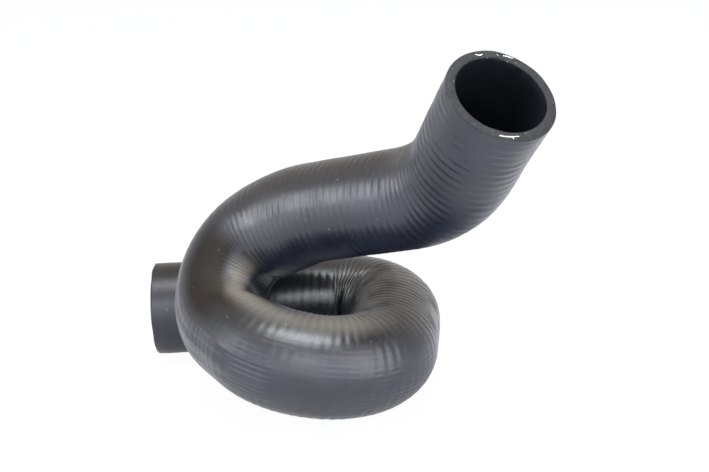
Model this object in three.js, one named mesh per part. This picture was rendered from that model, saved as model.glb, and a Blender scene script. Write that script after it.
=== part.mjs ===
// Radiator hose: one moulded rubber hose, cut square at both ends.
// Millimetres, +Z up. It lies as it rests on a table, its stub end along X.
import * as THREE from 'three';

// The section
const boreDiameter = 48;
const wall = 5;
const outerRadius = boreDiameter / 2 + wall;
const boreRadius = boreDiameter / 2;
const sides = 24;

// The run of the centre line from the stub end to the mouth
const stubLength = 114;
const backBendRadius = 36;
const coilSideLength = 32;
const frontBendRadius = 44;
const riseLength = 18;
const riseBendRadius = 35;
const shoulderRadius = 90;
const armLength = 60;
const elbowRadius = 64;
const mouthLength = 56;

// Puckers on the inside of the bends, one at every other section
const foldDepth = 1.2;

// Each bend with the straight length ahead of it. The angle is in degrees, and turn is
// how far the bend's plane is turned about the hose since the bend before.
const bends = [
  { before: stubLength, radius: backBendRadius, angle: 96, turn: 0, steps: 18, folds: 1.1 },
  { before: coilSideLength, radius: frontBendRadius, angle: 138, turn: -11, steps: 28, folds: 0.8 },
  { before: riseLength, radius: riseBendRadius, angle: 120, turn: -57, steps: 22, folds: 0.6 },
  { before: 0, radius: shoulderRadius, angle: 27, turn: 12, steps: 8, folds: 0 },
  { before: armLength, radius: elbowRadius, angle: 46, turn: -118, steps: 8, folds: 0.4 },
];

// Where the hose turns up into the arm its inside is flattened, and at the arm's root it
// is fuller. place is how far past the start of that turn, reach how far it fades out.
const turnUp = 2;
const flatDepth = 8;
const flatPlace = 25;
const flatReach = 25;
const fullDepth = 3;
const fullPlace = 90;
const fullReach = 15;

function rubber() {
  return new THREE.MeshStandardMaterial({ color: 0x3a3c42, roughness: 0.6, metalness: 0 });
}

// A section is a point of the centre line, the way it heads and two directions across.
// travelled is the length of hose behind it, inward the direction to the inside of the bend.
function section(travelled, point, heading, across, inward, fold) {
  return {
    travelled,
    point: point.clone(),
    heading: heading.clone(),
    across: across.clone(),
    inward: inward.clone(),
    fold,
  };
}

function centreLine() {
  const point = new THREE.Vector3(0, 0, 0);
  const heading = new THREE.Vector3(1, 0, 0);
  const across = new THREE.Vector3(0, -1, 0);
  let travelled = 0;
  let planeTurn = 0;
  const run = [section(travelled, point, heading, across, across, 0)];
  for (const bend of bends) {
    planeTurn += THREE.MathUtils.degToRad(bend.turn);
    const inward = across.clone().applyAxisAngle(heading, planeTurn);
    const axis = heading.clone().cross(inward);
    if (bend.before > 0) {
      travelled += bend.before;
      point.addScaledVector(heading, bend.before);
      run.push(section(travelled, point, heading, across, inward, 0));
    }
    const centre = point.clone().addScaledVector(inward, bend.radius);
    const step = THREE.MathUtils.degToRad(bend.angle) / bend.steps;
    const arm = inward.clone().multiplyScalar(-bend.radius);
    for (let i = 1; i <= bend.steps; i += 1) {
      travelled += bend.radius * step;
      for (const way of [arm, heading, across, inward]) way.applyAxisAngle(axis, step);
      point.copy(centre).add(arm);
      const fade = Math.sin((Math.PI * i) / bend.steps) ** 0.5;
      const fold = i % 2 === 1 ? bend.folds * foldDepth * fade : 0;
      run.push(section(travelled, point, heading, across, inward, fold));
    }
  }
  travelled += mouthLength;
  point.addScaledVector(heading, mouthLength);
  run.push(section(travelled, point, heading, across, across, 0));
  return run;
}

// Length of hose up to the start of the turn up into the arm, and the way to that turn's
// inside, as an angle from across
function turnUpStart() {
  const before = bends.slice(0, turnUp);
  const arcs = before.map((b) => b.before + b.radius * THREE.MathUtils.degToRad(b.angle));
  return arcs.reduce((sum, length) => sum + length, 0) + bends[turnUp].before;
}

function turnUpAngle() {
  const turns = bends.slice(0, turnUp + 1).map((b) => b.turn);
  return THREE.MathUtils.degToRad(turns.reduce((sum, turn) => sum + turn, 0));
}

// How far the skin is drawn in towards the centre line by the flattened inside
function drawnIn(travelled, angle) {
  const past = travelled - turnUpStart();
  const flat = flatDepth * Math.exp(-0.5 * ((past - flatPlace) / flatReach) ** 2);
  const full = fullDepth * Math.exp(-0.5 * ((past - fullPlace) / fullReach) ** 2);
  const facing = Math.max(0, Math.cos(angle - turnUpAngle())) ** 1.5;
  return (flat - full) * facing;
}

// One ring of points about a section. A fold draws the inside of the bend in
// and dies out a third of the way round to either side.
function ring(at, radius, foldShare) {
  const other = at.heading.clone().cross(at.across);
  const points = [];
  for (let i = 0; i < sides; i += 1) {
    const angle = (2 * Math.PI * i) / sides;
    const way = at.across.clone().multiplyScalar(Math.cos(angle));
    way.addScaledVector(other, Math.sin(angle));
    const inside = Math.max(0, way.dot(at.inward) + 0.35) / 1.35;
    const reach = radius - foldShare * at.fold * inside - drawnIn(at.travelled, angle);
    points.push(at.point.clone().addScaledVector(way, reach));
  }
  return points;
}

function skin(rings, faces, start, outward) {
  for (let i = 0; i < rings - 1; i += 1) {
    for (let j = 0; j < sides; j += 1) {
      const next = (j + 1) % sides;
      const a = start + i * sides + j;
      const b = start + i * sides + next;
      const c = a + sides;
      const d = b + sides;
      if (outward) faces.push(a, b, d, a, d, c);
      else faces.push(a, d, b, a, c, d);
    }
  }
}

// The cut face between the outer ring and the bore ring at one end
function cutFace(faces, outerStart, boreStart, forward) {
  for (let j = 0; j < sides; j += 1) {
    const next = (j + 1) % sides;
    const a = outerStart + j;
    const b = outerStart + next;
    const c = boreStart + j;
    const d = boreStart + next;
    if (forward) faces.push(a, b, d, a, d, c);
    else faces.push(a, d, b, a, c, d);
  }
}

function hoseGeometry() {
  const run = centreLine();
  const outer = run.map((at) => ring(at, outerRadius, 1));
  const bore = run.map((at) => ring(at, boreRadius, 0.4));
  const points = [...outer.flat(), ...bore.flat()];
  const faces = [];
  const boreStart = run.length * sides;
  const last = (run.length - 1) * sides;
  skin(run.length, faces, 0, true);
  skin(run.length, faces, boreStart, false);
  cutFace(faces, 0, boreStart, false);
  cutFace(faces, last, boreStart + last, true);
  const geometry = new THREE.BufferGeometry().setFromPoints(points);
  geometry.setIndex(faces);
  return geometry;
}

// Set down on the ground with the middle of its box over the origin
function setDown(geometry) {
  geometry.computeBoundingBox();
  const box = geometry.boundingBox;
  const middle = box.getCenter(new THREE.Vector3());
  geometry.translate(-middle.x, -middle.y, -box.min.z);
  geometry.computeVertexNormals();
  return geometry;
}

function radiatorHose() {
  const mesh = new THREE.Mesh(setDown(hoseGeometry()), rubber());
  mesh.name = 'radiator_hose';
  return mesh;
}

const part = new THREE.Group();
part.name = 'radiator_hose_part';
part.add(radiatorHose());
export default part;
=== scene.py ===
import math

import bpy
import numpy as np
from mathutils import Matrix, Vector


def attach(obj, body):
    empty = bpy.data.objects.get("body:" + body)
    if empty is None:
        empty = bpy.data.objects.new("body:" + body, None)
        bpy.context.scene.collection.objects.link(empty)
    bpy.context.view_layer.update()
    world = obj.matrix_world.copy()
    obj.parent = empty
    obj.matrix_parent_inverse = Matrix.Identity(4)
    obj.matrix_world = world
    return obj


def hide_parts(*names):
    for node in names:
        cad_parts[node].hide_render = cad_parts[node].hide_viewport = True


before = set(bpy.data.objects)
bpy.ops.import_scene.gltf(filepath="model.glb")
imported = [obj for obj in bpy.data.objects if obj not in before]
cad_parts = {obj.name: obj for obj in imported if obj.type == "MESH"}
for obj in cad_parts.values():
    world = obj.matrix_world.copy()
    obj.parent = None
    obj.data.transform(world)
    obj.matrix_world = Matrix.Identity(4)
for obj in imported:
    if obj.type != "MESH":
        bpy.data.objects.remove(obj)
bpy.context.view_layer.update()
scene = bpy.context.scene
print("frame loaded")


# helpers for objects

def deselectAll():
    if bpy.context.object and bpy.context.object.mode != "OBJECT":
        bpy.ops.object.mode_set(mode="OBJECT")
    bpy.ops.object.select_all(action="DESELECT")


def keepOnly(obj):
    deselectAll()
    obj.select_set(True)
    bpy.context.view_layer.objects.active = obj


def editAll():
    bpy.ops.object.mode_set(mode="EDIT")
    bpy.ops.mesh.select_all(action="SELECT")


def finishFaces():
    # turns all faces outward and leaves edit mode
    bpy.ops.mesh.select_all(action="SELECT")
    bpy.ops.mesh.normals_make_consistent(inside=False)
    bpy.ops.object.mode_set(mode="OBJECT")


# helpers for shapes

def turned(vec, axis, angle):
    return Matrix.Rotation(angle, 3, axis) @ vec


def smoothStep(low, high, value):
    t = np.clip((value - low) / (high - low), 0.0, 1.0)
    return t * t * (3 - 2 * t)


def bell(away, reach):
    return np.exp(-0.5 * (away / reach) ** 2)


def facing(angles, middle, sharpness):
    # 1 at the middle angle, in radians, and 0 from a quarter turn away on
    return np.clip(np.cos(angles - middle), 0, None) ** sharpness


def softField(along, angle, seed, reach, waves, count=16):
    # a smooth random field over the skin, about -1 to 1; reach is its length along the hose
    # and waves the most that go round it
    rng = np.random.RandomState(seed)
    field = np.zeros(np.broadcast(along, angle).shape)
    for _ in range(count):
        length = reach * rng.uniform(0.7, 2.2)
        wavesRound = rng.randint(-waves, waves + 1)
        phase = rng.uniform(0, 2 * math.pi)
        field += np.cos(2 * math.pi * along / length + wavesRound * angle + phase)
    return field / math.sqrt(count)


def patchy(field, middle, spread, least, most):
    return np.clip(middle + spread * field, least, most)


# helpers for materials

def newMaterial(name):
    mat = bpy.data.materials.new(name)
    mat.use_nodes = True
    return mat, mat.node_tree, mat.node_tree.nodes["Principled BSDF"]


def addNode(tree, kind, **settings):
    node = tree.nodes.new(kind)
    for key, value in settings.items():
        if key in node.inputs:
            node.inputs[key].default_value = value
        else:
            setattr(node, key, value)
    return node


def addMath(tree, operation, first, second=None):
    node = addNode(tree, "ShaderNodeMath", operation=operation)
    for slot, value in enumerate((first, second)):
        if isinstance(value, (int, float)):
            node.inputs[slot].default_value = value
        elif value is not None:
            tree.links.new(value, node.inputs[slot])
    return node.outputs[0]


def addChain(tree, operation, first, *others):
    # all the values, taken into one after another
    for value in others:
        first = addMath(tree, operation, first, value)
    return first


def addRamp(tree, source, stops):
    node = addNode(tree, "ShaderNodeValToRGB")
    ramp = node.color_ramp
    for element, (place, color) in zip(ramp.elements, stops):
        element.position = place
        element.color = (*color, 1)
    tree.links.new(source, node.inputs["Fac"])
    return node.outputs["Color"]


def addRange(tree, source, fromLow, fromHigh, toLow=0.0, toHigh=1.0):
    node = addNode(tree, "ShaderNodeMapRange", interpolation_type="SMOOTHSTEP")
    tree.links.new(source, node.inputs["Value"])
    ends = {"From Min": fromLow, "From Max": fromHigh, "To Min": toLow, "To Max": toHigh}
    for key, value in ends.items():
        node.inputs[key].default_value = value
    return node.outputs["Result"]


def addMix(tree, share, first, color):
    node = addNode(tree, "ShaderNodeMix", data_type="RGBA")
    tree.links.new(share, node.inputs["Factor"])
    tree.links.new(first, node.inputs[6])
    node.inputs[7].default_value = (*color, 1)
    return node.outputs[2]


def addNoise(tree, vector, scale, detail, roughness=0.5):
    node = addNode(tree, "ShaderNodeTexNoise", Scale=scale, Detail=detail, Roughness=roughness)
    tree.links.new(vector, node.inputs["Vector"])
    return node.outputs["Fac"]


def addScaled(tree, vector, scale):
    node = addNode(tree, "ShaderNodeMapping", Scale=scale)
    tree.links.new(vector, node.inputs["Vector"])
    return node.outputs[0]


def addSplit(tree, vector):
    node = addNode(tree, "ShaderNodeSeparateXYZ")
    tree.links.new(vector, node.inputs[0])
    return node.outputs


def addCells(tree, vector, scale):
    # the distance from the middle of each cell, and two random values that each cell has
    cells = addNode(tree, "ShaderNodeTexVoronoi", Scale=scale, Randomness=1.0)
    tree.links.new(vector, cells.inputs["Vector"])
    pick = addNode(tree, "ShaderNodeSeparateColor")
    tree.links.new(cells.outputs["Color"], pick.inputs[0])
    return cells.outputs["Distance"], pick.outputs[0], pick.outputs[1]


def addBump(tree, shader, height, strength, distance):
    bump = addNode(tree, "ShaderNodeBump", Strength=strength, Distance=distance)
    tree.links.new(height, bump.inputs["Height"])
    tree.links.new(bump.outputs["Normal"], shader.inputs["Normal"])


def noiseMaterial(name, look):
    # one noise gives both the colour and the bump
    mat, tree, shader = newMaterial(name)
    places = addNode(tree, "ShaderNodeTexCoord").outputs["Object"]
    noise = addNoise(tree, places, *look["noise"])
    color = addRamp(tree, noise, look["colors"])
    tree.links.new(color, shader.inputs["Base Color"])
    shader.inputs["Roughness"].default_value = look["roughness"]
    shader.inputs["Specular IOR Level"].default_value = look["gloss"]
    addBump(tree, shader, noise, *look["bump"])
    return mat, tree, shader, places, color


# camera, at the photograph's angle

cameraSetup = {
    "place": (0.0226, -0.6926, 0.3495),
    "yaw": -0.86,           # degrees, to the right of +Y
    "down": 20.1,           # degrees below level
    "roll": 3.04,
    "focalPixels": 1280.6,  # for an image 709 pixels wide
    "imageWidth": 709,
    "sensorWidth": 36,      # millimetres
    "nearest": 0.01,
}


def makeCamera(setup):
    yaw, down, roll = (math.radians(setup[k]) for k in ("yaw", "down", "roll"))
    level = math.cos(down)
    forward = Vector((level * math.sin(yaw), level * math.cos(yaw), -math.sin(down)))
    right = Vector((math.cos(yaw), -math.sin(yaw), 0))
    low = forward.cross(right)
    rightRolled = math.cos(roll) * right + math.sin(roll) * low
    lowRolled = -math.sin(roll) * right + math.cos(roll) * low
    data = bpy.data.cameras.new("photoCamera")
    data.sensor_fit = "HORIZONTAL"
    data.sensor_width = setup["sensorWidth"]
    data.lens = setup["focalPixels"] / setup["imageWidth"] * setup["sensorWidth"]
    data.clip_start = setup["nearest"]
    camera = bpy.data.objects.new("photoCamera", data)
    scene.collection.objects.link(camera)
    axes = Matrix((rightRolled, -lowRolled, -forward)).transposed()
    camera.matrix_world = Matrix.Translation(setup["place"]) @ axes.to_4x4()
    scene.camera = camera


makeCamera(cameraSetup)
print("camera placed")


# the hose: a ring pushed along straights and spun round bends

hose = {
    "stubEnd": (-0.11737, 0.06562, 0.029),
    "outerRadius": 0.029,
    "boreRadius": 0.024,
    "around": 88,            # points round the hose
    "sectionLength": 0.00078,
    "boreSection": 0.0045,
    "edgeRound": 0.0005,     # softness of the cut edges
    "edgeShoulder": 0.3,     # how far into that softness its middle ring lies
    "smoothAngle": 50,       # degrees; sharper edges stay sharp
    # straight before, bend radius, bend angle, turn of the bend's plane
    "bends": (
        (0.114, 0.036, 96, 0),
        (0.032, 0.044, 138, -11),
        (0.018, 0.035, 120, -57),
        (0.0, 0.090, 27, 12),
        (0.060, 0.064, 46, -118),
    ),
    "mouthLength": 0.056,
    "mapMiddle": -108,       # degrees round the hose where the skin's map has v = 0
    # the bend that turns up into the arm is flattened inside, and fuller at the arm's root:
    # depth or height, place past the bend's start, reach
    "turnUp": 2,
    "flat": (0.008, 0.025, 0.025),
    "full": (0.003, 0.090, 0.015),
    "turnUpSharpness": 1.5,
    # the back run is a little full on top where the arm crosses it, and the mouth flares a
    # little to one side: height, place along the hose, reach, degrees round it
    "swells": ((0.0016, 0.097, 0.020, -66), (0.0012, 0.6134, 0.012, -22)),
    "swellSharpness": 3,
}


def runPiece(length, point, heading, across, centre=None, axis=None):
    # a straight has no centre and no axis
    return {"length": length, "point": point, "heading": heading, "across": across,
            "centre": centre, "axis": axis}


def hoseRun(setup):
    # the pieces of the centre line in order, each with the frame it starts from
    point = Vector(setup["stubEnd"])
    heading = Vector((1, 0, 0))
    across = Vector((0, -1, 0))
    planeTurn = 0.0
    pieces = []
    for before, radius, degrees, turn in setup["bends"]:
        if before > 0:
            pieces.append(runPiece(before, point, heading, across))
            point = point + heading * before
        planeTurn += math.radians(turn)
        inward = turned(across, heading, planeTurn)
        axis = heading.cross(inward)
        centre = point + inward * radius
        angle = math.radians(degrees)
        pieces.append(runPiece(radius * angle, point, heading, across, centre, axis))
        point = centre + turned(point - centre, axis, angle)
        heading = turned(heading, axis, angle)
        across = turned(across, axis, angle)
    pieces.append(runPiece(setup["mouthLength"], point, heading, across))
    return pieces, point + heading * setup["mouthLength"], heading, across


def stationAt(piece, travelled):
    # centre, heading, across and curvature vector, a way into one piece of the run
    point, heading, across = piece["point"], piece["heading"], piece["across"]
    centre, axis = piece["centre"], piece["axis"]
    if centre is None:
        return point + heading * travelled, heading, across, Vector((0, 0, 0))
    radius = (point - centre).length
    angle = travelled / radius
    here = centre + turned(point - centre, axis, angle)
    curve = (centre - here) / radius ** 2
    return here, turned(heading, axis, angle), turned(across, axis, angle), curve


def faceProfile(setup):
    # a cut face from the bore's edge to the skin: each ring's depth behind the face, and size
    radius, bore, soft = setup["outerRadius"], setup["boreRadius"], setup["edgeRound"]
    shoulder = soft * setup["edgeShoulder"]
    return [(0.0, bore + soft), (0.0, (radius + bore) / 2), (0.0, radius - soft),
            (shoulder, radius - shoulder), (soft, radius)]


def pushProfile(end, inward, profile):
    # carries the selected ring over a cut face; inward is the way from the face into the hose
    for (depthBefore, sizeBefore), (depth, size) in zip(profile, profile[1:]):
        move = inward * (depth - depthBefore)
        bpy.ops.mesh.extrude_region_move(TRANSFORM_OT_translate={"value": move})
        bpy.ops.transform.resize(value=[size / sizeBefore] * 3,
                                 center_override=end + inward * depth)


def carryOn(pieces):
    # the last ring, still selected, starts a mesh of its own, because long meshes grow slowly
    bpy.ops.mesh.duplicate()
    bpy.ops.mesh.separate(type="SELECTED")
    bpy.ops.object.mode_set(mode="OBJECT")
    piece = next(obj for obj in bpy.context.selected_objects if obj != pieces[-1])
    keepOnly(piece)
    editAll()
    pieces.append(piece)


def growThrough(setup, run, piece, section, way, along):
    # carries the ring through one piece of the run, to the mouth (way 1) or back (way -1),
    # and returns the stations of the rings it makes
    length, centre = piece["length"], piece["centre"]
    begin = setup["edgeRound"] if piece is run[0] else 0.0
    finish = length - setup["edgeRound"] if piece is run[-1] else length
    steps = max(2, round((finish - begin) / section))
    step = way * (finish - begin) / steps
    if centre is None:
        bpy.ops.mesh.extrude_repeat(steps=steps, offset=piece["heading"] * step)
    else:
        angle = -way * length / (piece["point"] - centre).length
        bpy.ops.mesh.spin(steps=steps, angle=angle, center=centre, axis=piece["axis"])
    start = begin if way > 0 else finish
    gone = [step * i for i in range(1, steps + 1)]
    return [(along + far, *stationAt(piece, start + far)) for far in gone]


def growSkin(setup, run):
    # stub face, skin to the mouth, mouth face; the stations of the skin's rings are returned
    soft = setup["edgeRound"]
    profile = faceProfile(setup)
    stub, heading = run[0]["point"], run[0]["heading"]
    bpy.ops.mesh.primitive_circle_add(vertices=setup["around"], radius=profile[0][1],
                                      location=stub, rotation=(0, math.pi / 2, 0))
    pieces = [bpy.context.object]
    bpy.ops.object.transform_apply(location=True, rotation=True, scale=True)
    bpy.ops.object.mode_set(mode="EDIT")
    pushProfile(stub, heading, profile)
    rings = [(soft, *stationAt(run[0], soft))]
    for piece in run:
        if piece is not run[0]:
            carryOn(pieces)
        rings += growThrough(setup, run, piece, setup["sectionLength"], 1, rings[-1][0])
    end, heading = rings[-1][1], rings[-1][2]
    pushProfile(end + heading * soft, -heading, profile[::-1] + [(soft, setup["boreRadius"])])
    return pieces, rings


def growBore(setup, run, pieces, along):
    # back from the mouth to the stub end, the same way in coarser steps
    last = run[-1]
    rings = [(along, *stationAt(last, last["length"] - setup["edgeRound"]))]
    for piece in reversed(run):
        carryOn(pieces)
        rings += growThrough(setup, run, piece, setup["boreSection"], -1, rings[-1][0])
    bpy.ops.object.mode_set(mode="OBJECT")
    return rings


def joinPieces(pieces):
    # one after another, so that each ring stays one block of points, in the run's order
    for piece in pieces[1:]:
        keepOnly(pieces[0])
        piece.select_set(True)
        bpy.ops.object.join()
    keepOnly(pieces[0])
    editAll()
    bpy.ops.mesh.remove_doubles(threshold=0.000001)
    return pieces[0]


def closeStub():
    # the bore's last ring meets the first ring of the stub face
    bpy.ops.mesh.select_all(action="DESELECT")
    bpy.ops.mesh.select_mode(type="VERT")
    bpy.ops.mesh.select_non_manifold(extend=False, use_wire=False, use_multi_face=False,
                                     use_non_contiguous=False, use_verts=False)
    bpy.ops.mesh.bridge_edge_loops()
    finishFaces()


deselectAll()
hosePath, mouthCentre, mouthHeading, mouthAcross = hoseRun(hose)
hosePieces, skinRings = growSkin(hose, hosePath)
boreRings = growBore(hose, hosePath, hosePieces, skinRings[-1][0])
hoseSkin = joinPieces(hosePieces)
closeStub()
hoseSkin.name = "hoseSkin"
faceRings = len(faceProfile(hose)) - 1      # rings of a cut face before it meets the skin
firstSkinRing = faceRings
lastSkinRing = firstSkinRing + len(skinRings) - 1
firstBoreRing = lastSkinRing + faceRings + 1
print("hose grown:", len(hoseSkin.data.vertices), "points,", len(skinRings), "rings")


# the skin's relief: ribs left by the wrapping tape, folds on the inside of bends, soft lumps

relief = {
    # how far along the hose, and the ribs' pitch there
    "ribPitch": ((0.0, 0.0058), (0.10, 0.0052), (0.15, 0.0042), (0.45, 0.0042), (0.53, 0.0050),
                 (0.62, 0.0052)),
    # how far along the hose, and the ribs' height there
    "ribHeight": ((0.0, 0.00003), (0.09, 0.00006), (0.13, 0.00024), (0.20, 0.00020),
                  (0.26, 0.00013), (0.30, 0.00011), (0.34, 0.00005), (0.38, 0.00004),
                  (0.42, 0.00008), (0.50, 0.00007), (0.55, 0.00010), (0.585, 0.00014),
                  (0.605, 0.00009), (0.611, 0.0)),
    "ribWander": 0.22,               # as a share of the pitch
    "ribOvertone": (0.15, 0.8),      # height and phase of the wave that makes ribs lopsided
    "ribSqueezed": 0.8,              # ribs grow by this where the hose is squeezed
    "ribStretched": (0.7, 0.4),      # and shrink where it is stretched, down to a least share
    # how far along the hose, and the folds' height there
    "foldHeight": ((0.0, 0.0), (0.12, 0.00042), (0.175, 0.00046), (0.22, 0.00008),
                   (0.42, 0.00003), (0.50, 0.00004), (0.62, 0.0)),
    "foldSqueeze": (0.30, 0.78),     # how squeezed the inside is where folds start, and are full
    "foldSharpness": 1.3,
    "foldLevel": 0.4,                # share of a fold that stands above the skin
    # middle, spread, least and most of a height that differs from spot to spot
    "ribPatches": (0.85, 0.55, 0.1, 1.9),
    "foldPatches": (0.9, 0.5, 0.2, 2),
    # random fields: seed, length along the hose, most waves round it, number of waves
    "wanderField": (3, 0.09, 2),
    "ribField": (5, 0.020, 9, 30),
    "foldField": (8, 0.010, 6),
    # soft lumps: height and random field
    "lumps": ((0.00006, (11, 0.030, 4)), (0.000016, (13, 0.012, 8))),
    "endFade": (0.0005, 0.004),      # the relief comes in between these distances from each end
    "curveSpread": 0.009,            # length over which a bend's squeeze fades in
    "edgeWander": 0.00016,           # the hand cut edges' unevenness
    "edgeFields": ((21, 1.0, 14), (22, 1.0, 14)),
}


def ringArrays(rings):
    # the rings' stations as arrays with one row for each ring
    names = ("centre", "heading", "across", "curve")
    arrays = {name: np.array([tuple(r[k]) for r in rings]) for k, name in enumerate(names, 1)}
    arrays["along"] = np.array([r[0] for r in rings])
    arrays["other"] = np.cross(arrays["heading"], arrays["across"])
    return arrays


def ringAngles(arrays, points):
    # the angle of every point of every ring, because merged rings are numbered in mixed order
    away = points.reshape(len(arrays["along"]), -1, 3) - arrays["centre"][:, None]
    toAcross = (away * arrays["across"][:, None]).sum(2)
    toOther = (away * arrays["other"][:, None]).sum(2)
    return np.arctan2(toOther, toAcross)


def ringPoints(arrays, angles, reach):
    # points of all rings at the given angles, at the given distance from the centre line
    way = (np.cos(angles)[..., None] * arrays["across"][:, None]
           + np.sin(angles)[..., None] * arrays["other"][:, None])
    return (arrays["centre"][:, None] + way * reach[..., None]).reshape(-1, 3)


def farthestOff(arrays, angles, radius, points):
    # how far the points lie from a plain round hose, at most
    return np.abs(ringPoints(arrays, angles, np.full_like(angles, radius)) - points).max()


def drawnIn(setup, along, angles):
    # how far the skin and the bore come in at the turn up; the swells take away from it
    before, turnUp = setup["bends"][:setup["turnUp"]], setup["bends"][setup["turnUp"]]
    start = sum(straight + radius * math.radians(angle) for straight, radius, angle, _ in before)
    start += turnUp[0]
    inside = math.radians(sum(bend[3] for bend in (*before, turnUp)))
    flat, full = (depth * bell(along - start - place, reach)
                  for depth, place, reach in (setup["flat"], setup["full"]))
    drawn = (flat - full)[:, None] * facing(angles, inside, setup["turnUpSharpness"])
    for height, place, reach, angle in setup["swells"]:
        swell = (height * bell(along - place, reach))[:, None]
        drawn -= swell * facing(angles, math.radians(angle), setup["swellSharpness"])
    return drawn


def squeezeOf(arrays, angles, radius, spread):
    # above 0 on the inside of a bend, below 0 on the outside
    along = arrays["along"]
    weight = bell(along[:, None] - along[None, :], spread)
    weight /= weight.sum(1)[:, None]
    toAcross = weight @ (arrays["curve"] * arrays["across"]).sum(1)
    toOther = weight @ (arrays["curve"] * arrays["other"]).sum(1)
    return radius * (toAcross[:, None] * np.cos(angles) + toOther[:, None] * np.sin(angles))


def ribPhase(look, along, angles):
    # the ribs wind round the hose like the tape that left them, and wander a little
    pitch = np.interp(along, *zip(*look["ribPitch"]))
    turns = np.cumsum(np.diff(along) / ((pitch[1:] + pitch[:-1]) / 2))
    turns = np.concatenate(([0], turns))[:, None] + angles / (2 * math.pi)
    wander = softField(along[:, None], angles, *look["wanderField"])
    return 2 * math.pi * (turns + look["ribWander"] * wander)


def reliefOf(look, along, angles, squeeze):
    # how far the skin is lifted, and where the ribs' crests are
    station = along[:, None]
    phase = ribPhase(look, along, angles)
    share, shift = look["ribOvertone"]
    rib = np.sin(phase) + share * np.sin(2 * phase + shift)
    rib *= np.interp(along, *zip(*look["ribHeight"]))[:, None]
    rib *= patchy(softField(station, angles, *look["ribField"]), *look["ribPatches"])
    loss, least = look["ribStretched"]
    rib *= np.where(squeeze > 0, 1 + look["ribSqueezed"] * squeeze,
                    np.clip(1 + loss * squeeze, least, 1))
    crease = (0.5 + 0.5 * np.cos(phase)) ** look["foldSharpness"]
    fold = smoothStep(*look["foldSqueeze"], squeeze) * (look["foldLevel"] - crease)
    fold *= np.interp(along, *zip(*look["foldHeight"]))[:, None]
    fold *= patchy(softField(station, angles, *look["foldField"]), *look["foldPatches"])
    lift = rib + fold
    for height, field in look["lumps"]:
        lift += height * softField(station, angles, *field)
    ends = smoothStep(*look["endFade"], along) * smoothStep(*look["endFade"], along[-1] - along)
    return lift * ends[:, None], np.sin(phase)


def wanderEdges(points, setup, look, arrays):
    # moves the cut faces' rings a little along the hose
    count = setup["around"]
    for firstRing, end, field in zip((0, lastSkinRing), (0, -1), look["edgeFields"]):
        station = {name: values[[end]] for name, values in arrays.items()}
        for ring in range(firstRing, firstRing + faceRings + 1):
            block = slice(ring * count, (ring + 1) * count)
            wander = softField(0.0, ringAngles(station, points[block]), *field)[0]
            points[block] += np.outer(look["edgeWander"] * wander, station["heading"][0])


def shapeHose(obj, setup, look):
    # moves the hose's points to their shape; returns where and what each point of the skin is
    points = np.empty(len(obj.data.vertices) * 3)
    obj.data.vertices.foreach_get("co", points)
    points = points.reshape(-1, 3)
    count, radius, bore = setup["around"], setup["outerRadius"], setup["boreRadius"]
    skin, inner = ringArrays(skinRings), ringArrays(boreRings)
    skinBlock = slice(firstSkinRing * count, (lastSkinRing + 1) * count)
    boreBlock = slice(firstBoreRing * count, (firstBoreRing + len(boreRings)) * count)
    angles = ringAngles(skin, points[skinBlock])
    boreAngles = ringAngles(inner, points[boreBlock])
    off = max(farthestOff(skin, angles, radius, points[skinBlock]),
              farthestOff(inner, boreAngles, bore, points[boreBlock]))
    print("farthest a ring point lay from its ring: %.6f m" % off)
    squeeze = squeezeOf(skin, angles, radius, look["curveSpread"])
    lift, crest = reliefOf(look, skin["along"], angles, squeeze)
    reach = radius + lift - drawnIn(setup, skin["along"], angles)
    points[skinBlock] = ringPoints(skin, angles, reach)
    reach = bore - drawnIn(setup, inner["along"], boreAngles)
    points[boreBlock] = ringPoints(inner, boreAngles, reach)
    wanderEdges(points, setup, look, skin)
    obj.data.vertices.foreach_set("co", points.ravel())
    obj.data.update()
    marks = {"along": np.full(len(points), -1.0)}        # it stays -1 where there is no skin
    marks["along"][skinBlock] = np.repeat(skin["along"], count)
    for name, values in (("angle", angles), ("squeeze", squeeze), ("crest", crest)):
        marks[name] = np.zeros(len(points))
        marks[name][skinBlock] = values.ravel()
    return marks


def cornerPoints(obj):
    # the point of every corner of every face, four corners to a face
    corners = np.empty(len(obj.data.loops), dtype=np.int64)
    obj.data.loops.foreach_get("vertex_index", corners)
    return corners.reshape(-1, 4)


def mapSkin(obj, setup, marks):
    # u runs along the hose and v round it, both in metres; squeeze and crest are attributes
    fromMiddle = marks["angle"] - math.radians(setup["mapMiddle"])
    fromMiddle = (fromMiddle + math.pi) % (2 * math.pi) - math.pi
    corners = cornerPoints(obj)
    angle = fromMiddle[corners]
    wrapped = (angle.max(1) - angle.min(1) > math.pi)[:, None] & (angle < 0)
    angle = np.where(wrapped, angle + 2 * math.pi, angle)
    uv = np.stack((marks["along"][corners], angle * setup["outerRadius"]), axis=-1)
    obj.data.uv_layers.new(name="skinMap").data.foreach_set("uv", uv.ravel())
    for name in ("squeeze", "crest"):
        attribute = obj.data.attributes.new(name, "FLOAT", "POINT")
        attribute.data.foreach_set("value", marks[name])


mapSkin(hoseSkin, hose, shapeHose(hoseSkin, hose, relief))
print("relief shaped")


# the skin's material

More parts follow.
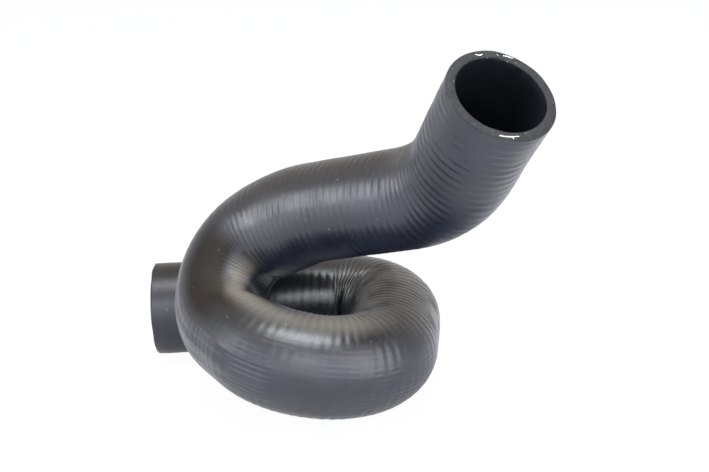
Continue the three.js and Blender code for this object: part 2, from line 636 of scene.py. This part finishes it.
rubberLook = {
    "deep": (0.004, 0.005, 0.009),
    "plain": (0.010, 0.012, 0.020),
    "dustAndTopLight": (0.018, 0.0145, 0.0115),   # a dull dust film on what faces up, its warm tint partly painted light from above
    "dustAndSheen": (0.132, 0.119, 0.100),    # pale dust with painted sheen, inside the first bend and along the coil's top
    "speck": (0.30, 0.30, 0.29),
    # scale, detail and roughness of the noises
    "cloud": (26.0, 4.0, 0.55),
    "haze": (17.0, 3.0),
    "patches": (55.0, 5.0),
    "mottle": (620.0, 3.0),
    "grain": (1000.0, 3.0),
    # a fade is what it reads, where it starts, where it is full, and the shares at those two
    # places if they aren't 0 and 1. A mark is the product of its fades. They read u and v, the
    # metres along and round the hose, up, how far the skin faces up, squeeze, crest, bandV, a v
    # that follows the band of pale dust and painted sheen, and the noises
    "hazeShare": (("haze", 0.25, 0.75, 0.55, 1.0),),
    "faceUp": (("up", 0.35, 1.0),),
    "bandShift": (("u", 0.32, 0.37, 0.0, 0.007),),
    "dustAndSheenBands": (
        # pale dust with painted sheen: pale bands that stand in for light reaching the inside of
        # the first bend and the coil's top
        (("squeeze", 0.10, 0.60), ("u", 0.17, 0.21, 0.75, 0.12), ("up", 0.0, 0.8)),
        (("bandV", -0.0135, -0.0005), ("bandV", 0.0130, 0.0022), ("u", 0.20, 0.27),
         ("u", 0.415, 0.375, 0.0, 0.85)),
        (("v", -0.0263, -0.0133), ("v", 0.0092, 0.0017), ("u", 0.125, 0.155),
         ("u", 0.235, 0.195, 0.0, 0.8)),
    ),
    # the pale band thins in the ribs' valleys, fully in the first bend: painted shade between the
    # ribs
    "valleyShade": (("crest", 0.6, -0.6, 0.0, 0.95), ("u", 0.25, 0.19, 0.15, 1.0)),
    "dull": (("u", 0.280, 0.335), ("u", 0.415, 0.385), ("v", -0.0010, -0.0083),
             ("v", -0.0400, -0.0240, 0.15, 1.0)),
    "outside": (("squeeze", -0.38, -0.74),),
    # specks: cells to a metre, least and most size, share of cells without one, strength
    "speckScale": 150.0,
    "speckSize": (0.02, 0.065),
    "speckRare": 0.70,
    "speckShare": 0.4,
    # roughness, and what is added to it by the noises, the marks and where the hose is
    "roughness": 0.29,
    "patchesRough": 0.14,
    "mottleRough": (("mottle", 0.35, 0.65, -0.02, 0.04),),
    "dustAndSheenRough": 0.25,
    "dullRough": 0.22,
    "roughPlaces": (
        (("u", 0.40, 0.43, 0.0, 0.04),),
        (("u", 0.10, 0.06, 0.0, 0.06),),
        (("squeeze", -0.35, -0.65, 0.0, 0.10),),
    ),
    # gloss, and what is taken from it: by the marks, under arm and elbow, at stub and mouth
    "gloss": 0.5,
    "dullGloss": 0.24,
    "dustAndTopLightGloss": 0.31,
    "glossPlaces": (
        (("up", -0.10, -0.55, 0.0, 0.44), ("u", 0.570, 0.535), ("u", 0.395, 0.435)),
        (("u", 0.10, 0.06, 0.0, 0.10),),
        (("u", 0.52, 0.56, 0.0, 0.08),),
    ),
    # fine heights, as shares of the bump's distance; scales are along and round the hose
    "bump": (1.0, 0.00012),            # strength and distance
    "ridgeScale": (11.0, 190.0, 1.0),
    "ridgeNoise": (1.0, 0.5),
    "leftRidges": (("u", 0.275, 0.305, 0.0, 14.0), ("u", 0.375, 0.340), ("v", -0.0260, -0.0360)),
    "outsideRidges": 2.5,
    "weavePitch": 0.0031,
    "weaveSway": 3.0,
    "weavePatches": (("cloud", 0.45, 0.65),),
    "weaveHeight": 1.5,
    "streakScale": (900.0, 70.0, 1.0),
    "streakNoise": (1.0, 2.0),
    "streakHeight": 0.07,
    "grainHeight": 0.22,
}


def addMark(tree, read, fades):
    ranges = [addRange(tree, read[name], *ends) for name, *ends in fades]
    return addChain(tree, "MULTIPLY", *ranges)


def readSkin(tree, look):
    # what the fades read, and the three marks that more than one channel needs
    places = addNode(tree, "ShaderNodeTexCoord").outputs
    read = {"place": places["Object"], "up": addSplit(tree, places["Normal"])["Z"]}
    read["map"] = addNode(tree, "ShaderNodeUVMap", uv_map="skinMap").outputs["UV"]
    mapParts = addSplit(tree, read["map"])
    read["u"], read["v"] = mapParts["X"], mapParts["Y"]
    for name in ("squeeze", "crest"):
        read[name] = addNode(tree, "ShaderNodeAttribute", attribute_name=name).outputs["Fac"]
    for name in ("cloud", "haze", "patches", "mottle", "grain"):
        read[name] = addNoise(tree, read["place"], *look[name])
    shift = addMark(tree, read, look["bandShift"])
    read["bandV"] = addMath(tree, "SUBTRACT", read["v"], shift)
    hazeShare = addMark(tree, read, look["hazeShare"])
    dustAndSheenBands = addChain(tree, "MAXIMUM", *(addMark(tree, read, fades) for fades in look["dustAndSheenBands"]))
    # the share left outside the painted shade of the rib valleys
    outsideValleyShade = addMath(tree, "SUBTRACT", 1.0, addMark(tree, read, look["valleyShade"]))
    dustAndSheen = addChain(tree, "MULTIPLY", dustAndSheenBands, hazeShare, outsideValleyShade)
    dull = addMark(tree, read, look["dull"])
    # a dust film on what faces up and on the dull patch; its warm tint on top is partly painted
    # light from above
    dustAndTopLightPlaces = addMath(tree, "MAXIMUM", addMark(tree, read, look["faceUp"]), dull)
    return read, dustAndSheen, dull, addMath(tree, "MULTIPLY", dustAndTopLightPlaces, hazeShare)


def skinColor(tree, read, look, dustAndSheen, dustAndTopLight):
    # cloudy black, with a dust film whose warm tint on what faces up is partly painted light from
    # above, pale dust with painted sheen, and pale specks of dust over it
    color = addRamp(tree, read["cloud"], ((0.3, look["deep"]), (0.7, look["plain"])))
    # the dust film, tinted warm on what faces up as painted light from above
    color = addMix(tree, dustAndTopLight, color, look["dustAndTopLight"])
    # pale dust with painted sheen over the coil's top and inside the first bend
    color = addMix(tree, dustAndSheen, color, look["dustAndSheen"])
    distance, rarity, size = addCells(tree, read["place"], look["speckScale"])
    spot = addMath(tree, "LESS_THAN", distance, addRange(tree, size, 0.0, 1.0, *look["speckSize"]))
    rare = addMath(tree, "GREATER_THAN", rarity, look["speckRare"])
    share = addChain(tree, "MULTIPLY", spot, rare, look["speckShare"])
    return addMix(tree, share, color, look["speck"])


def skinRoughness(tree, read, look, dustAndSheen, dull):
    # the patches' noise is 0.5 in the middle, so half of its share is taken off again
    return addChain(
        tree, "ADD",
        addMath(tree, "MULTIPLY", read["patches"], look["patchesRough"]),
        addMark(tree, read, look["mottleRough"]),
        addMath(tree, "MULTIPLY", dustAndSheen, look["dustAndSheenRough"]),
        addMath(tree, "MULTIPLY", dull, look["dullRough"]),
        *(addMark(tree, read, fades) for fades in look["roughPlaces"]),
        look["roughness"] - look["patchesRough"] / 2)


def skinGloss(tree, read, look, dull, dustAndTopLight):
    return addChain(
        tree, "SUBTRACT", look["gloss"],
        addMath(tree, "MULTIPLY", dull, look["dullGloss"]),
        addMath(tree, "MULTIPLY", dustAndTopLight, look["dustAndTopLightGloss"]),
        *(addMark(tree, read, fades) for fades in look["glossPlaces"]))


def skinHeight(tree, read, look):
    # ridges and weave lines on stretched outsides, cross streaks and grain all over
    outside = addMark(tree, read, look["outside"])
    ridges = addNoise(tree, addScaled(tree, read["map"], look["ridgeScale"]), *look["ridgeNoise"])
    ridgeShare = addMath(tree, "MAXIMUM", addMark(tree, read, look["leftRidges"]),
                         addMath(tree, "MULTIPLY", outside, look["outsideRidges"]))
    sway = addMath(tree, "MULTIPLY", read["haze"], look["weaveSway"])
    turns = addMath(tree, "MULTIPLY", read["v"], 2 * math.pi / look["weavePitch"])
    lines = addMath(tree, "SINE", addMath(tree, "ADD", sway, turns))
    weavePatches = addMark(tree, read, look["weavePatches"])
    streaks = addNoise(tree, addScaled(tree, read["map"], look["streakScale"]),
                       *look["streakNoise"])
    return addChain(
        tree, "ADD",
        addMath(tree, "MULTIPLY", ridges, ridgeShare),
        addChain(tree, "MULTIPLY", lines, weavePatches, outside, look["weaveHeight"]),
        addMath(tree, "MULTIPLY", streaks, look["streakHeight"]),
        addMath(tree, "MULTIPLY", read["grain"], look["grainHeight"]))


def rubberSkinMaterial(look):
    mat, tree, shader = newMaterial("hoseRubber")
    read, dustAndSheen, dull, dustAndTopLight = readSkin(tree, look)
    channels = {
        "Base Color": skinColor(tree, read, look, dustAndSheen, dustAndTopLight),
        "Roughness": skinRoughness(tree, read, look, dustAndSheen, dull),
        "Specular IOR Level": skinGloss(tree, read, look, dull, dustAndTopLight),
    }
    for name, output in channels.items():
        tree.links.new(output, shader.inputs[name])
    addBump(tree, shader, skinHeight(tree, read, look), *look["bump"])
    return mat


# the cut ends' material, matt and crumbly, with the cut cords as tiny pale points and pits as tiny
# dark points of painted shade

cutLook = {
    "noise": (380.0, 5.0, 0.65),       # scale, detail, roughness
    "colors": ((0.3, (0.003, 0.003, 0.004)), (0.7, (0.017, 0.017, 0.018))),
    "roughness": 0.75,
    "gloss": 0.28,
    "bump": (0.6, 0.00015),            # strength and distance
    "cordColor": (0.20, 0.19, 0.17),
    "cordShare": 0.5,
    "pitShadeColor": (0.008, 0.008, 0.009),
    "spotScale": 480.0,                # cells to a metre
    "spotSize": 0.18,                  # as a share of a cell
    "cordAbove": 0.84,                 # cells with a random value above this have a cord
    "pitShadeBelow": 0.12,                  # and below this a pit
}


def cutRubberMaterial(look):
    mat, tree, shader, places, color = noiseMaterial("cutRubber", look)
    distance, pick, _ = addCells(tree, places, look["spotScale"])
    spot = addMath(tree, "LESS_THAN", distance, look["spotSize"])
    cord = addMath(tree, "GREATER_THAN", pick, look["cordAbove"])
    cordShare = addChain(tree, "MULTIPLY", spot, cord, look["cordShare"])
    color = addMix(tree, cordShare, color, look["cordColor"])
    # dark points that stand in for the shade inside small pits
    pitShade = addMath(tree, "MULTIPLY", spot, addMath(tree, "LESS_THAN", pick, look["pitShadeBelow"]))
    color = addMix(tree, pitShade, color, look["pitShadeColor"])
    tree.links.new(color, shader.inputs["Base Color"])
    return mat


# the bore's material, duller than the skin, and darker as painted shade inside the bore

boreShadeLook = {
    "noise": (90.0, 4.0),
    # colours a little darker than the skin's: painted shade inside the bore
    "colors": ((0.3, (0.002, 0.0025, 0.004)), (0.7, (0.004, 0.0045, 0.007))),
    "roughness": 0.7,
    "gloss": 0.12,
    "bump": (0.25, 0.0001),
}


def boreRubberMaterial(look):
    return noiseMaterial("boreRubberShaded", look)[0]


def paintHose(obj, setup):
    # skin, cut faces and bore are told apart by the rings that their faces lie between
    obj.data.materials.clear()
    for mat in (rubberSkinMaterial(rubberLook), cutRubberMaterial(cutLook),
                boreRubberMaterial(boreShadeLook)):
        obj.data.materials.append(mat)
    ring = cornerPoints(obj) // setup["around"]
    low, high = ring.min(1), ring.max(1)
    onSkin = (low >= firstSkinRing) & (high <= lastSkinRing)
    onCut = (high <= firstSkinRing) | ((low >= lastSkinRing) & (high <= firstBoreRing))
    slots = np.where(onSkin, 0, np.where(onCut, 1, 2)).astype(np.int32)
    obj.data.polygons.foreach_set("material_index", slots)


paintHose(hoseSkin, hose)
keepOnly(hoseSkin)
bpy.ops.object.shade_smooth_by_angle(angle=math.radians(hose["smoothAngle"]))
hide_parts("radiator_hose")
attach(hoseSkin, "root")
print("hose painted")


# ends of the wall's cords, lying across the mouth's cut face

yarn = {
    "thick": 0.0006,
    "sides": 10,
    "rise": 0.0002,          # how far the cords' middles stand above the face
    # from angle and distance to angle and distance round the mouth
    "ends": (
        ((140.5, 0.0270), (136.5, 0.0258)),
        ((136.5, 0.0258), (131.5, 0.0263)),
        ((114.5, 0.0273), (113.0, 0.0258)),
        ((107.0, 0.0270), (95.5, 0.0275)),
        ((287.0, 0.0277), (309.5, 0.0268)),
        ((301.0, 0.0268), (302.5, 0.0284)),
    ),
    "cuts": (-0.46, -0.3, -0.1, 0.1, 0.3, 0.46),   # along a length of 1
    "thinEnds": 0.35,        # how thick the ends are, as a share of the middle
    "blunt": 0.04,           # share of the length that stays as thick as its end
    "pressed": 0.7,          # height as a share of the breadth
    "fuzz": 0.00006,         # unevenness across the face
    "fuzzUp": 0.00004,       # and above it
    # the fibre's look
    "noise": (1400.0, 3.0),
    "colors": ((0.3, (0.34, 0.32, 0.28)), (0.55, (0.66, 0.64, 0.58))),
    "roughness": 0.85,
    "gloss": 0.5,
    "bump": (0.6, 0.0001),
}


def yarnMaterial(look):
    return noiseMaterial("yarnFibre", look)[0]


def addYarnEnd(setup, begin, finish, seed):
    # a short cylinder, cut into lengths, laid round the mouth and frayed thin at its ends
    deselectAll()
    bpy.ops.mesh.primitive_cylinder_add(vertices=setup["sides"], radius=setup["thick"] / 2,
                                        depth=1, end_fill_type="TRIFAN")
    obj = bpy.context.object
    bpy.ops.object.mode_set(mode="EDIT")
    for cut in setup["cuts"]:
        bpy.ops.mesh.select_all(action="SELECT")
        bpy.ops.mesh.bisect(plane_co=(0, 0, cut), plane_no=(0, 0, 1))
    finishFaces()
    rng = np.random.RandomState(seed)
    fuzz, fuzzUp = setup["fuzz"], setup["fuzzUp"]
    for v in obj.data.vertices:
        share = v.co.z + 0.5
        angle = math.radians(begin[0] + (finish[0] - begin[0]) * share)
        reach = begin[1] + (finish[1] - begin[1]) * share
        way = turned(mouthAcross, mouthHeading, angle)
        inner = min(max(share, setup["blunt"]), 1 - setup["blunt"])
        full = setup["thinEnds"] + (1 - setup["thinEnds"]) * math.sin(math.pi * inner) ** 0.5
        side = (v.co.x + rng.uniform(-fuzz, fuzz)) * full
        rise = v.co.y * full * setup["pressed"] + rng.uniform(-fuzzUp, fuzzUp) + setup["rise"]
        v.co = mouthCentre + way * (reach + side) + mouthHeading * rise
    return obj


def makeYarn(setup):
    pieces = [addYarnEnd(setup, *ends, seed) for seed, ends in enumerate(setup["ends"])]
    keepOnly(pieces[0])
    for obj in pieces:
        obj.select_set(True)
    bpy.ops.object.join()
    obj = bpy.context.object
    obj.name = "yarnEnds"
    bpy.ops.object.mode_set(mode="EDIT")
    finishFaces()
    obj.data.materials.clear()
    obj.data.materials.append(yarnMaterial(setup))
    bpy.ops.object.shade_smooth()
    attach(obj, "root")


makeYarn(yarn)
print("yarn ends set")


# floor, backdrop and light

studio = {
    "floorSize": 6.0,
    "floorDrop": 0.0005,     # the floor lies this far below the hose
    "floorColor": (0.86, 0.86, 0.86, 1),
    "floorRoughness": 0.9,
    # how white the camera and gloss see the floor and the world
    "floorWhite": (0.96, 0.5),
    "worldWhite": (1.0, 1.0),
    "worldLevel": 0.10,
    "worldColor": (1.0, 0.95, 0.90, 1),
    "lookAt": (0, 0, 0.09),
    # name, the two ends of its middle line as azimuth and elevation seen from the hose
    # (azimuth 0 is towards the camera, more is to the right), breadth, distance, glow, colour
    "lights": (
        ("overheadLamp", (-78, 69), (66, 65), 0.60, 1.5, 16.0, (0.90, 0.96, 1.0)),
        ("overheadGlow", (-97, 60), (82, 53), 0.60, 1.6, 5.6, (0.88, 0.95, 1.0)),
        ("frontBox", (-20, 16), (30, 16), 1.5, 1.6, 2.8, (0.94, 0.95, 1.0)),
        ("rightFrontBox", (30, 19), (82, 19), 1.4, 1.6, 5.3, (0.95, 0.95, 1.0)),
        ("frontHighLamp", (-30, 34), (20, 34), 0.60, 1.55, 4.6, (0.93, 0.97, 1.0)),
        ("leftFrontBox", (-72, 5), (-20, 5), 1.15, 1.6, 2.8, (0.94, 0.95, 1.0)),
        ("leftWindow", (-66, 16), (-92, 38), 0.32, 1.5, 13.5, (0.93, 0.97, 1.0)),
        ("leftStrip", (-107, -8), (-107, 18), 0.35, 1.5, 4.0, (0.97, 0.95, 1.0)),
    ),
}


def whiteWhereSeen(tree, surface, outputIn, cameraShare, glossShare):
    # what the camera, gloss and glass meet is plain white; light still falls on the rest
    path = addNode(tree, "ShaderNodeLightPath").outputs
    gloss = addMath(tree, "MAXIMUM", path["Is Glossy Ray"], path["Is Transmission Ray"])
    factor = addMath(tree, "MAXIMUM",
                     addMath(tree, "MULTIPLY", path["Is Camera Ray"], cameraShare),
                     addMath(tree, "MULTIPLY", gloss, glossShare))
    emission = addNode(tree, "ShaderNodeEmission", Color=(1, 1, 1, 1), Strength=1.0)
    mix = addNode(tree, "ShaderNodeMixShader")
    for source, slot in ((factor, 0), (surface, 1), (emission.outputs[0], 2)):
        tree.links.new(source, mix.inputs[slot])
    tree.links.new(mix.outputs[0], outputIn)


def makeFloor(setup):
    deselectAll()
    bpy.ops.mesh.primitive_plane_add(size=setup["floorSize"], location=(0, 0, -setup["floorDrop"]))
    floor = bpy.context.object
    bpy.ops.object.transform_apply(location=True, rotation=True, scale=True)
    floor.name = "floor"
    mat, tree, shader = newMaterial("paleFloor")
    shader.inputs["Base Color"].default_value = setup["floorColor"]
    shader.inputs["Roughness"].default_value = setup["floorRoughness"]
    surface = tree.nodes["Material Output"].inputs["Surface"]
    whiteWhereSeen(tree, shader.outputs[0], surface, *setup["floorWhite"])
    floor.data.materials.append(mat)


def makeWorld(setup):
    world = bpy.data.worlds.new("paleWorld")
    scene.world = world
    world.use_nodes = True
    tree = world.node_tree
    background = tree.nodes["Background"]
    background.inputs["Color"].default_value = setup["worldColor"]
    background.inputs["Strength"].default_value = setup["worldLevel"]
    surface = tree.nodes["World Output"].inputs["Surface"]
    whiteWhereSeen(tree, background.outputs[0], surface, *setup["worldWhite"])


def lampWay(azimuth, elevation):
    azimuth, elevation = math.radians(azimuth), math.radians(elevation)
    level = math.cos(elevation)
    return Vector((level * math.sin(azimuth), -level * math.cos(azimuth), math.sin(elevation)))


def makeLights(setup):
    for name, begin, finish, breadth, distance, glow, color in setup["lights"]:
        first, second = lampWay(*begin) * distance, lampWay(*finish) * distance
        outward = (first + second).normalized()
        alongLamp = second - first
        alongLamp -= outward * alongLamp.dot(outward)
        data = bpy.data.lights.new(name, "AREA")
        data.shape = "RECTANGLE"
        data.size, data.size_y = alongLamp.length, breadth
        data.energy = glow * math.pi * data.size * data.size_y
        data.color = color
        lamp = bpy.data.objects.new(name, data)
        alongLamp.normalize()
        axes = Matrix((alongLamp, outward.cross(alongLamp), outward)).transposed()
        place = Vector(setup["lookAt"]) + outward * distance
        lamp.matrix_world = Matrix.Translation(place) @ axes.to_4x4()
        lamp.visible_camera = False
        scene.collection.objects.link(lamp)


makeFloor(studio)
makeWorld(studio)
makeLights(studio)
scene.view_settings.view_transform = "Standard"
print("studio set")
